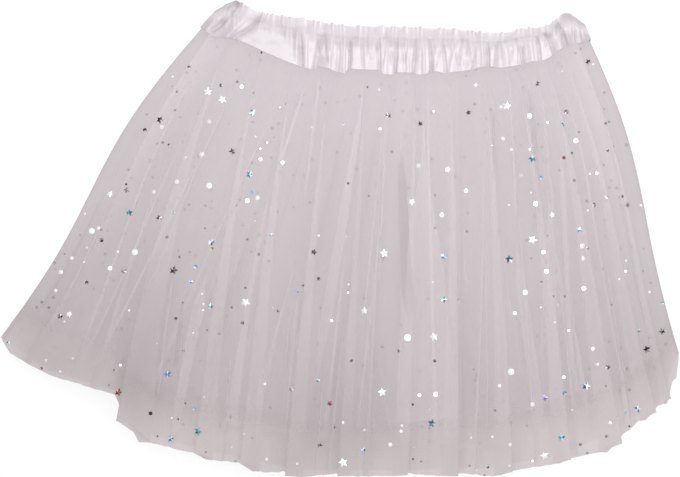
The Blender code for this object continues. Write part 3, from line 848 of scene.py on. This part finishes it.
# Creases pressed into the casing: where each meets the top and the bottom, the part of the width it covers,
# how wide its soft side is (its sharp side is to the right, or to the left where this is below 0), its
# height, below 0 for a trough, and how far it bows to the right
Press = namedtuple("Press", "topX lowX start end width rise bow")
bandPresses = tableOf(
    Press,
    (-74.0, -82.0, 0.05, 0.60, 1.8, -0.9, 1.5),
    (-67.0, -87.0, 0.00, 0.85, 2.6, -1.4, 2.0),
    (-58.0, -75.0, 0.00, 1.00, 3.2, 1.1, 1.0),
    (-51.5, -71.2, 0.03, 1.00, -2.6, -2.1, 1.5),
    (-38.0, -36.5, 0.16, 0.40, 1.6, -1.1, 0.5),
    (-31.0, -29.0, 0.14, 0.42, -1.5, -1.0, -0.4),
    (-27.5, -25.0, 0.25, 1.00, 2.6, -1.5, 0.6),
    (-20.5, -22.0, 0.22, 1.00, 2.2, 1.0, -0.5),
    (-12.0, -16.5, 0.18, 1.00, -4.2, -1.9, 0.8),
    (-5.0, -7.0, 0.22, 1.00, 2.6, 0.9, 0.6),
    (0.5, -1.0, 0.30, 1.00, 1.6, -0.8, 0.4),
    (3.6, 3.2, 0.26, 1.00, 1.6, 0.9, 0.0),
    (7.0, 6.4, 0.26, 1.00, -1.1, -1.7, 0.2),
    (25.5, 25.5, 0.36, 0.48, 0.7, -1.8, 0.0),
    (26.0, 27.0, 0.20, 1.00, 1.5, -1.3, 0.5),
    (32.5, 31.0, 0.22, 1.00, 3.2, 1.0, -0.6),
    (38.5, 37.5, 0.22, 1.00, 1.4, -1.1, 0.5),
    (43.0, 44.6, 0.25, 0.90, 1.8, -0.7, -0.6),
    (50.5, 49.0, 0.22, 0.95, -1.6, -1.0, 0.6),
    (55.5, 56.8, 0.22, 1.00, 1.4, 1.1, 0.3),
    (59.0, 61.2, 0.20, 1.00, -1.5, -1.9, 0.4),
    (66.0, 71.5, 0.24, 1.00, 1.4, -1.1, 1.2),
    (84.0, 74.0, 0.26, 1.00, -3.4, 1.2, -1.5),
    (91.0, 87.5, 0.22, 1.00, 4.0, -0.9, 1.0),
    (94.6, 96.2, 0.22, 1.00, 1.3, 1.1, 0.3),
    (98.6, 99.8, 0.20, 1.00, 1.5, -1.5, 0.5),
    (105.0, 103.5, 0.20, 1.00, -1.3, -1.2, 0.4),
    (108.0, 112.5, 0.22, 1.00, 3.0, 1.1, 1.0),
    (114.0, 122.5, 0.18, 1.00, -1.7, -1.6, 1.5),
    (125.5, 129.5, 0.20, 1.00, 2.4, 1.0, 0.5),
    (130.5, 134.5, 0.18, 1.00, 1.3, -1.2, 0.6),
    (134.5, 143.5, 0.12, 1.00, -1.7, -1.8, 0.8),
    (139.5, 148.5, 0.08, 1.00, 1.9, 1.1, 0.4),
    (144.0, 152.0, 0.04, 1.00, 1.8, -1.7, 0.6),
    (153.0, 157.0, 0.30, 1.00, 2.6, 0.8, 0.5),
    (158.5, 163.0, 0.10, 0.90, -2.2, -1.0, 0.5),
)

# how far the lower edge stands above its even line, along x
bandScallops = tableOf(
    Point,
    (-92.0, 0.0), (-67.0, 1.3), (-47.0, 0.2), (-33.0, -0.3), (-23.5, -0.8), (-18.0, -1.1), (-13.4, 1.5),
    (-8.7, 1.3), (-1.3, -0.7), (3.4, -1.3), (6.0, 1.8), (8.0, 2.1), (27.0, 1.9), (29.5, -0.9), (34.8, -1.1),
    (40.2, 0.4), (48.2, 0.2), (53.6, -1.1), (58.3, -0.7), (60.3, 1.7), (64.3, 0.8), (70.3, -0.3),
    (87.1, 0.5), (94.5, 1.9), (100.5, 1.5), (108.5, -0.2), (121.9, -1.0), (128.6, -0.5), (137.4, -1.5),
    (146.7, -2.2), (151.4, -1.0), (160.0, -1.3), (169.0, 0.0),
)


def bandShares():
    middles = [((s.topX + s.lowX) / 2, (s.topY + s.lowY) / 2) for s in bandStations]
    gone = [0.0]
    for before, after in zip(middles, middles[1:]):
        gone.append(gone[-1] + math.dist(before, after))
    return [part / gone[-1] for part in gone], gone[-1]


stationShares, bandLength = bandShares()


def bandPoint(along, across):
    k = next(n for n in range(1, len(stationShares)) if along <= stationShares[n] + 1e-9)
    t = ramp(along, stationShares[k - 1], stationShares[k])
    around = [bandStations[min(max(n, 0), len(bandStations) - 1)] for n in (k - 2, k - 1, k, k + 1)]
    here = []
    for a, b, c, d in zip(*around):  # an even curve through the stations
        here.append(b + 0.5 * t * (c - a + t * (2 * a - 5 * b + 4 * c - d + t * (3 * (b - c) + d - a))))
    return mix(here[0], here[2], across), mix(here[1], here[3], across)


def endFade(along, length=band["end"]):
    return smooth(min(along, 1 - along) * bandLength / length)


def frill(along, count):
    # fine gathers of uneven width
    at = along * count + 0.55 * math.sin(along * 37.0) + 0.4 * math.sin(along * 91.0)
    return math.sin(math.pi * at) ** 2 * (2 * varied(int(at), 1.0) - 0.85)


def pressed(x, across, presses):
    total, fade = 0.0, band["pressFade"]
    for press in presses:
        bowed = press.bow * math.sin(math.pi * across)
        off = (x - mix(press.topX, press.lowX, across) - bowed) * math.copysign(1, press.width)
        wide = abs(press.width)
        if abs(off) > band["pressReach"] * wide or not press.start < across <= press.end + fade:
            continue
        fades = smooth((across - press.start) / fade)
        if press.end < 1:
            fades *= smooth((press.end + fade - across) / fade)
        reach = wide if off < 0 else band["pressSharp"] * wide
        total += press.rise * math.exp(-(off / reach) ** 2) * fades
    return total


def smallWrinkles(rng):
    made = []
    small = band["wrinkle"]
    for _ in range(small["count"]):
        x = rng.uniform(*small["span"])
        if small["none"][0] < x < small["none"][1]:
            continue
        start = rng.choice(small["starts"])
        lowX = x + rng.uniform(*small["slant"])
        end = start + rng.uniform(*small["long"])
        width = rng.choice((-1, 1)) * rng.uniform(*small["wide"])
        rise, bow = rng.uniform(*small["rise"]), rng.uniform(*small["bow"])
        made.append(Press(x, lowX, start, end, width, rise, bow))
    return made


def scallop(x):
    left, right = neighbours(bandScallops, x)
    return mix(left.y, right.y, smooth(ramp(x, left.x, right.x)))


def satinShade(value):
    return ramp(value, band["shade"]["lit"], band["shade"]["dark"])


def bandFront(along, across, wrinkles):
    # x, y and z, then the satin's painted shade and how far net veils it
    x, y = bandPoint(along, across)
    end = endFade(along)
    below = across - band["heading"]
    base = mix(band["topZ"], mix(band["endZ"], band["lowZ"], end), smooth(across / band["climb"]))
    above = smooth(1 - across / band["heading"])
    reach = max(above, band["frillBelow"] * (1 - smooth(below / band["frillFade"])))
    leaned = along + 0.0016 * math.sin(9 * across + 40 * along)
    gathers = frill(leaned, band["frills"])
    dip = band["seamDip"] * math.exp(-(below / band["seamWide"]) ** 2)
    creased = pressed(x, across, bandPresses) + pressed(x, across, wrinkles)
    ears = max(ramp(x, *band["leftEar"]), ramp(x, *band["rightEar"]))
    rise = band["frillRise"] * gathers * reach * (1 - band["earRise"] * ears)
    z = base + (rise - dip) * end + creased * mix(0.5, 1.0, end)
    sway = frill(leaned + 0.004, band["frills"]) - 0.4
    sway *= band["frillSway"] * above * (1 - band["earSway"] * ears) * end
    low = scallop(x) * smooth((across - 0.5) / 0.5)
    look, net = band["shade"], band["veil"]
    frilled = look["frill"] * (gathers - look["frillMiddle"]) * reach * end
    # painted shade and highlight: creases, frill valleys, the seam and the ends' tops darker, ridges and the
    # heading lighter
    shade = look["crease"] * creased + (frilled + look["heading"] * above) * (1 - ears)
    shade -= look["seam"] * dip + look["ear"] * ears * smooth(1 - across / look["earDepth"])
    past = [smooth((across - start) / fade) for start, fade in net["below"]]
    veil = ramp(x, *net["left"]) * past[0] + ramp(x, *net["right"]) * max(1 - past[1], past[2])
    return x, y + sway + low, z, satinShade(shade), veil


def bandBack(along, across):
    x, y = bandPoint(along, across)
    rise = band["backRise"] * frill(along, band["backFrills"])
    rise *= (1 - smooth(across / band["backFade"])) * endFade(along)
    y -= band["setback"] * (1 - across) * endFade(along, 10 * band["end"])
    return x, y, band["backZ"] + rise, satinShade(0.0), 0.0


def bandBend(first, last, bulge):
    # the casing turns over the end of the elastic
    bend = []
    for step in band["bends"]:
        x, y, z, _, veil = [mix(a, b, step) for a, b in zip(first, last)]
        z = mix(first[2], last[2], smooth(step))
        bend.append((x + bulge * math.sin(math.pi * step), y, z, satinShade(0.0), veil))
    return bend


def bandMesh():
    wrinkles = smallWrinkles(random.Random(band["seed"]))
    across = [(k / (band["rows"] - 1)) ** band["rowCurve"] for k in range(band["rows"])]
    rows = []
    for share in across:
        front = [bandFront(k / (band["columns"] - 1), share, wrinkles) for k in range(band["columns"])]
        back = [bandBack(1 - k / (band["backColumns"] - 1), share) for k in range(band["backColumns"])]
        rows.append(front + bandBend(front[-1], back[0], 1.0) + back + bandBend(back[-1], front[0], -1.0))
    gone = [0.0]
    lower = rows[-8]
    for here, after in zip(lower, lower[1:] + lower[:1]):
        gone.append(gone[-1] + math.dist(here[:3], after[:3]))
    # the crease attribute carries painted shade and highlight: 0 lit, 1 in deep shade
    mesh = tubeMesh(rows, ("crease", "veiled"), gone, across, band["flatLength"])
    for edge in mesh.edges:  # the casing's cut edges don't shade its face
        edge.smooth = not edge.is_boundary
    return mesh


def satinMaterial():
    # Polyester satin, warp-faced: long floats lie across the band, so it is smooth, bright and pearly,
    # with highlights drawn out across the floats; grey-lilac shade is painted into its creases and a
    # highlight onto its ridges.
    material, add = newMaterial("polyesterSatin")
    place = add("UVMap", uv_map="cloth")
    crease, ends = [add("Attribute", attribute_name=layer).outputs["Fac"] for layer in ("crease", "veiled")]
    # floats 0.15 mm wide, drawn at 0.9 mm so that they show
    floats = add("Mapping", {"Vector": place, "Scale": (1100.0, 60.0, 1.0)})
    slub = add("TexNoise", {"Vector": floats, "Scale": 1.0, "Detail": 2.0})
    mottled = add("Mapping", {"Vector": place, "Scale": (90.0, 130.0, 1.0)})
    clouded = add("TexNoise", {"Vector": mottled, "Scale": 1.0, "Detail": 3.0})
    # painted shade from the crease attribute darkens creases and frill valleys
    shade = add("MapRange", {"Value": crease, "From Min": 0.3})
    cloudy = add("MapRange", {"Value": clouded, "From Min": 0.35, "From Max": 0.7,
                              "To Min": -0.2, "To Max": 0.25})
    dim = add("Math", {0: shade, 1: cloudy}, use_clamp=True)
    # ridges get a painted highlight, and the ends lie under a veil of net
    ridgeHighlight = add("MapRange", {"Value": crease, "From Min": 0.32, "From Max": 0.0})
    veil = add("Math", {0: ends, 1: 0.9}, operation="MULTIPLY")
    colour = "ddd5d9"
    for share, cast in (dim, "b0a7ac"), (ridgeHighlight, "ebe3e7"), (veil, "c8bec3"):
        colour = add("Mix", {0: share, 6: colour, 7: cast}, data_type="RGBA").outputs[2]
    grain, rough = [
        add("MapRange", {"Value": slub, "From Min": 0.3, "From Max": 0.7, "To Min": low, "To Max": high})
        for low, high in ((0.985, 1.015), (0.30, 0.42))
    ]
    toned = add("HueSaturation", {"Color": colour, "Value": grain})
    bump = add("Bump", {"Height": slub, "Strength": 0.25, "Distance": 0.0002})
    shader = add("BsdfPrincipled", {"Base Color": toned, "Roughness": rough, "Normal": bump,
                                    "Sheen Weight": 0.2, "Sheen Roughness": 0.4, "Anisotropic": 0.5})
    add("OutputMaterial", {0: shader})
    return material


print("satin waistband")
bandTube = bandMesh()
bandTree = BVHTree.FromBMesh(bandTube)
bandPiece = newPiece(band["name"], bandTube, satinMaterial())
casing = bandPiece.modifiers.new("casing", "SOLIDIFY")
casing.thickness = band["thickness"] * mm
casing.offset = -1
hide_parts("waistband_front", "waistband_back")

# Foils: stars and dots pressed onto the outer net
foil = {
    "front": 185, "back": 330,  # besides those listed
    "spacing": 3.5,  # least distance between two
    "rayFrom": {"front": 100.0, "back": -50.0},  # height from which its place is looked for
    "rimRays": 6, "rim": 0.8,  # how often, and at what share of its radius, it rests on the folds beneath
    "lift": 0.22, "lean": 0.08,  # how far it stands off the net and tilts
    "sizes": (0.9, 1.1),  # by chance, of its form's radius
    "dotShare": 0.9,  # of the radius given for a dot that is listed
    "waist": 0.5,  # inner radius of a star, as a share of its outer one
    "starDome": 0.08, "dotDome": 0.04,  # how far its middle stands above its rim, as a share of its radius
    "spanX": (-225, 226), "spanY": (-158, 140),
    "middle": 30, "sparse": 0.4, "sparseTo": 50, "denseFrom": 140,  # fewer lie round the middle
    "tries": 6000,
    "seed": 41,
}
Form = namedtuple("Form", "sides radius share")
foilForms = tableOf(Form, ("star", 1.3, 0.08), ("dot", 1.1, 0.16), ("dot", 0.85, 0.38), ("dot", 0.65, 0.38))
# tints that the facets of one foil take by chance: white is a painted glint and dark a painted dark
# reflection, as are the white facets among blue and teal; the rest are the film's own colours
foilTints = {
    "white": ("ffffff", "ffffff", "fbfbff"),
    "pale": ("d9d2d6", "e2dce0", "cfc8cc"),
    "grey": ("8d848a", "a0979c", "776e74", "b5adb2"),
    "dark": ("2e272c", "3b3439", "231d22", "5a5157", "c4bcc1"),
    "teal": ("2f6f80", "8fc4cf", "3f5a62", "e4f2f4", "3a6a78"),
    "blue": ("4a699c", "90abd0", "475672", "e6ecf5", "6486b4"),
    "violet": ("6f659c", "b9b0d6", "8f86b8"),
    "red": ("5e3032", "804c49", "4a2628", "8f625e"),
    "faint": ("b0a6ab", "a69ca1", "9b9197", "bbb1b6"),
    "mauve": ("b39aa8", "a58e9b", "c0abb6"),
}
# how often each tint falls, and how glossy its foils are: those behind show their dull side through the net
Fall = namedtuple("Fall", "tint share gloss")
tintFalls = {
    "front": tableOf(
        Fall,
        ("pale", 0.24, 0.6), ("grey", 0.27, 0.3), ("dark", 0.22, 0.8), ("white", 0.19, 1.0),
        ("teal", 0.04, 0.7), ("blue", 0.03, 0.7), ("red", 0.01, 0.3),
    ),
    "back": tableOf(Fall, ("faint", 0.60, 0.0), ("mauve", 0.20, 0.0), ("grey", 0.20, 0.0)),
}

# the foils that show best, by their form and tint: place in plan and radius
placedFoils = {
    ("star", "white"): [
        (-88.4, 97.8, 2.9), (-78.4, 92.5, 2.8), (-63.0, -42.9, 3.2), (16.1, -48.2, 2.6),
        (62.3, -65.7, 3.1), (28.1, -102.5, 3.0), (2.0, -149.4, 3.1), (29.5, -10.1, 2.9),
        (47.6, 24.1, 2.3), (111.2, 88.4, 2.9), (128.0, -1.3, 3.0), (141.4, 15.4, 1.9),
        (136.0, -144.7, 2.8), (-91.8, 55.6, 2.3), (-154.1, 29.5, 2.2), (71.7, 45.6, 2.3),
        (-180.9, -50.9, 2.0),
    ],
    ("dot", "white"): [
        (-65.7, 101.2, 1.4), (-87.1, 77.7, 1.5), (-108.5, 37.5, 1.7), (-87.1, 34.8, 2.0),
        (-124.0, 30.8, 1.6), (-166.2, 4.7, 2.2), (-161.5, 6.7, 1.4), (-136.7, -9.4, 2.3),
        (-179.6, -13.4, 1.5), (-186.9, -22.8, 1.6), (-61.6, 24.8, 1.6), (-54.9, 26.8, 1.6),
        (-52.9, 52.3, 1.4), (-119.3, 74.4, 1.6), (-153.4, -20.1, 1.6), (52.3, 48.2, 1.7),
        (67.7, 15.4, 1.5), (-38.2, 50.2, 1.3), (44.9, -66.3, 2.4), (63.7, -103.9, 1.7),
        (33.5, -137.3, 1.5), (126.6, 81.7, 1.7), (157.5, 65.0, 1.6), (83.8, 31.5, 1.4),
        (130.0, 22.8, 1.7), (113.9, -89.1, 2.5), (123.3, -36.2, 2.0), (137.3, -22.1, 1.6),
        (162.1, -33.5, 1.6), (168.2, -73.7, 1.4), (128.0, -110.6, 1.7), (113.2, -137.3, 1.5),
        (135.3, -9.4, 1.4),
    ],
    ("dot", "pale"): [
        (-171.5, 16.1, 1.5), (104.5, 77.1, 1.5), (119.9, 41.5, 1.7), (161.5, -5.4, 1.8),
        (144.7, -44.9, 1.5),
    ],
    ("star", "pale"): [(-126.6, 51.6, 2.1), (162.1, -13.4, 1.8)],
    ("star", "dark"): [
        (-71.7, 57.6, 2.5), (-120.6, 79.1, 2.6), (-110.6, -21.4, 3.1), (-186.9, -52.3, 2.2),
        (-17.4, -9.4, 2.3), (32.2, 81.7, 2.3), (53.6, 76.4, 1.9), (-13.4, -138.0, 2.0),
        (166.2, 117.9, 2.2), (132.0, 103.2, 2.0), (85.8, 83.8, 1.9), (215.7, -62.3, 2.5),
        (205.0, -74.4, 2.8), (-120.6, 13.4, 2.3), (178.2, -85.8, 2.0),
    ],
    ("dot", "dark"): [
        (-130.7, 72.4, 1.5), (-159.5, -1.3, 1.6), (-126.0, -116.6, 1.5), (151.4, 84.4, 1.7),
        (169.5, 22.1, 1.6),
    ],
    ("star", "grey"): [
        (-142.7, 32.2, 2.2), (-144.1, -22.1, 2.2), (-32.2, -100.5, 1.8), (190.3, -87.1, 1.8),
        (192.3, 22.1, 2.0),
    ],
    ("dot", "grey"): [(178.2, 27.5, 1.5)],
    ("star", "blue"): [
        (-58.3, 83.8, 2.6), (-85.8, -2.7, 2.6), (-112.6, -133.3, 2.8), (-114.6, -90.5, 2.8),
        (163.5, -98.5, 2.9), (-86.4, -45.6, 2.4), (198.3, -113.9, 2.6), (15.4, -140.7, 2.3),
    ],
    ("dot", "blue"): [(-99.2, -28.8, 1.5)],
    ("star", "teal"): [
        (-140.7, 16.8, 2.6), (-60.3, 42.2, 2.5), (-94.5, -128.6, 2.8), (69.0, -12.1, 2.5),
        (69.0, -40.9, 2.3), (61.0, -123.3, 3.0), (128.0, 52.9, 2.8), (112.6, -14.1, 2.9),
        (147.4, -132.7, 2.8), (159.5, 5.4, 2.2),
    ],
    ("dot", "teal"): [(134.0, 40.2, 1.4), (148.7, 75.7, 1.4), (149.4, -103.2, 1.6), (-14.7, -94.5, 1.3)],
    ("star", "red"): [(-147.4, -102.5, 2.9), (-6.7, -109.9, 2.2)],
    ("star", "violet"): [(136.0, -105.9, 2.8)],
}


def addFoil(mesh, colour, kind, radius, tints, gloss, place, normal, rng):
    # a fan of facets, each with its own tint, so that a star glitters with painted glints
    facing = normal.to_track_quat("Z", "Y").to_matrix().to_4x4()
    matrix = Matrix.Translation(place) @ facing @ Matrix.Rotation(rng.uniform(0, math.tau), 4, "Z")
    sides = 10 if kind == "star" else 12 if radius > 1.4 else 8
    made = bmesh.ops.create_circle(mesh, cap_ends=True, cap_tris=True, segments=sides, radius=radius * mm)
    middle = min(made["verts"], key=lambda vertex: vertex.co.length)
    for index, vertex in enumerate(made["verts"]):
        if vertex == middle:
            vertex.co.z += foil["starDome" if kind == "star" else "dotDome"] * radius * mm
        elif kind == "star" and index % 2:
            vertex.co *= foil["waist"]
    bmesh.ops.transform(mesh, matrix=matrix, verts=made["verts"])
    for face in middle.link_faces:
        tint = (*hexColour(rng.choice(tints))[:3], gloss)
        for loop in face.loops:
            loop[colour] = tint


def foilPlace(side, radius, x, y):
    # where a foil lies on the net and the way it faces, or nothing where the net or room for it is missing
    start = Vector((x, y, foil["rayFrom"][side])) * mm
    heading = Vector((0, 0, -1 if side == "front" else 1))
    place, normal, _, _ = outerTree.ray_cast(start, heading)
    if place is None:
        return None, None
    if side == "front":
        if bandTree.ray_cast(start, heading)[0] is not None:
            return None, None
        for turn in range(foil["rimRays"]):  # it lies over every small fold beneath it
            angle = turn * math.tau / foil["rimRays"]
            rim = Vector((math.cos(angle), math.sin(angle), 0)) * radius * foil["rim"] * mm
            beside = outerTree.ray_cast(start + rim, heading)[0]
            if beside is not None:
                place.z = max(place.z, beside.z)
    return place, normal if normal.z > 0 else -normal


def scatterFoils():
    rng = random.Random(foil["seed"])
    mesh = bmesh.new()
    colour = mesh.loops.layers.float_color.new("foilTint")
    taken = {"front": [], "back": []}
    up = Vector((0, 0, 1))

    def lay(side, kind, tint, gloss, radius, x, y):
        place, normal = foilPlace(side, radius, x, y)
        if place is None or any(math.dist((x, y), spot) < foil["spacing"] for spot in taken[side]):
            return
        taken[side].append((x, y))
        lean = Vector((rng.uniform(-1, 1), rng.uniform(-1, 1), 0)) * foil["lean"]
        facing = (normal * 0.5 + up * 0.5 + lean).normalized()
        place += up * foil["lift"] * mm
        addFoil(mesh, colour, kind, radius, foilTints[tint], gloss, place, facing, rng)

    for (kind, tint), spots in placedFoils.items():
        for x, y, radius in spots:
            lay("front", kind, tint, 1.0, radius * (1.0 if kind == "star" else foil["dotShare"]), x, y)
    for side in ("front", "back"):
        goal = foil[side] + len(taken[side])
        for _ in range(foil["tries"]):
            if len(taken[side]) >= goal:
                break
            x, y = rng.uniform(*foil["spanX"]), rng.uniform(*foil["spanY"])
            away = ramp(abs(x - foil["middle"]), foil["sparseTo"], foil["denseFrom"])
            if rng.random() > mix(foil["sparse"], 1.0, away):
                continue
            form = rng.choices(foilForms, [f.share for f in foilForms])[0]
            fall = rng.choices(tintFalls[side], [f.share for f in tintFalls[side]])[0]
            lay(side, form.sides, fall.tint, fall.gloss, form.radius * rng.uniform(*foil["sizes"]), x, y)
    print(f"  {len(taken['front'])} foils in front, {len(taken['back'])} behind")
    return mesh


def foilMaterial():
    # Hot-pressed polyester foil, vacuum metallised: a mirror-bright film, silver, blue and teal. Its white
    # flashes and dark facets are painted glints and reflections in each facet's tint, which it takes by
    # chance.
    material, add = newMaterial("pressedMirrorFoil")
    tint = add("Attribute", attribute_name="foilTint")
    rough = add("MapRange", {"Value": tint.outputs["Alpha"], "To Min": 0.95, "To Max": 0.24})
    shader = add("BsdfPrincipled", {"Base Color": tint, "Metallic": 0.5, "Roughness": rough})
    add("OutputMaterial", {0: shader})
    return material


print("foil stars and dots")
foilPiece = newPiece("foil_stars_and_dots", scatterFoils(), foilMaterial())

# Floor, light and camera
studio = {
    "floorSize": 6.0,
    "world": 0.60,
    "lampSize": 0.8, "lampPower": 16.9, "lampPlace": (0.3, 0.2, 1.7),
    "lens": 120.0, "sensor": 36.0,
    "spanAcross": 0.4556,  # the width that fills the render, at the height of the cloth
    "clothHeight": 0.006,
    "aim": (0.0, -0.0003),
}


def backdropMaterial():
    # Matte seamless paper, uncoated: an even white with the softest tooth.
    material, add = newMaterial("whiteSeamlessPaper")
    place = add("TexCoord").outputs["Object"]
    tooth = add("TexNoise", {"Vector": place, "Scale": 900.0, "Detail": 2.0})
    tone = add("Mix", {0: tooth, 6: "fafafa", 7: "ffffff"}, data_type="RGBA").outputs[2]
    shader = add("BsdfPrincipled", {"Base Color": tone, "Roughness": 0.95, "Specular IOR Level": 0.0})
    add("OutputMaterial", {0: shader})
    return material


def setStudio():
    scene = bpy.context.scene
    mesh = bmesh.new()
    bmesh.ops.create_grid(mesh, x_segments=1, y_segments=1, size=studio["floorSize"] / 2)
    meshObject("floor", mesh, backdropMaterial())

    world = bpy.data.worlds.new("studio")
    world.use_nodes = True
    sky = world.node_tree.nodes["Background"]
    sky.inputs["Color"].default_value = (1.0, 1.0, 1.0, 1.0)
    sky.inputs["Strength"].default_value = studio["world"]
    scene.world = world

    lamp = bpy.data.lights.new("softbox", "AREA")
    lamp.size, lamp.energy = studio["lampSize"], studio["lampPower"]
    softbox = addObject("softbox", lamp)
    softbox.location = studio["lampPlace"]
    softbox.rotation_euler = (-Vector(studio["lampPlace"])).to_track_quat("-Z", "Y").to_euler()

    lens = bpy.data.cameras.new("overhead")
    lens.lens, lens.sensor_width = studio["lens"], studio["sensor"]
    lens.clip_start, lens.clip_end = 0.05, 20.0
    camera = addObject("overhead", lens)
    high = studio["spanAcross"] * studio["lens"] / studio["sensor"] + studio["clothHeight"]
    camera.location = (*studio["aim"], high)
    scene.camera = camera
    scene.view_settings.view_transform = "Standard"
    scene.cycles.transparent_max_bounces = 48


print("floor, light and camera")
setStudio()
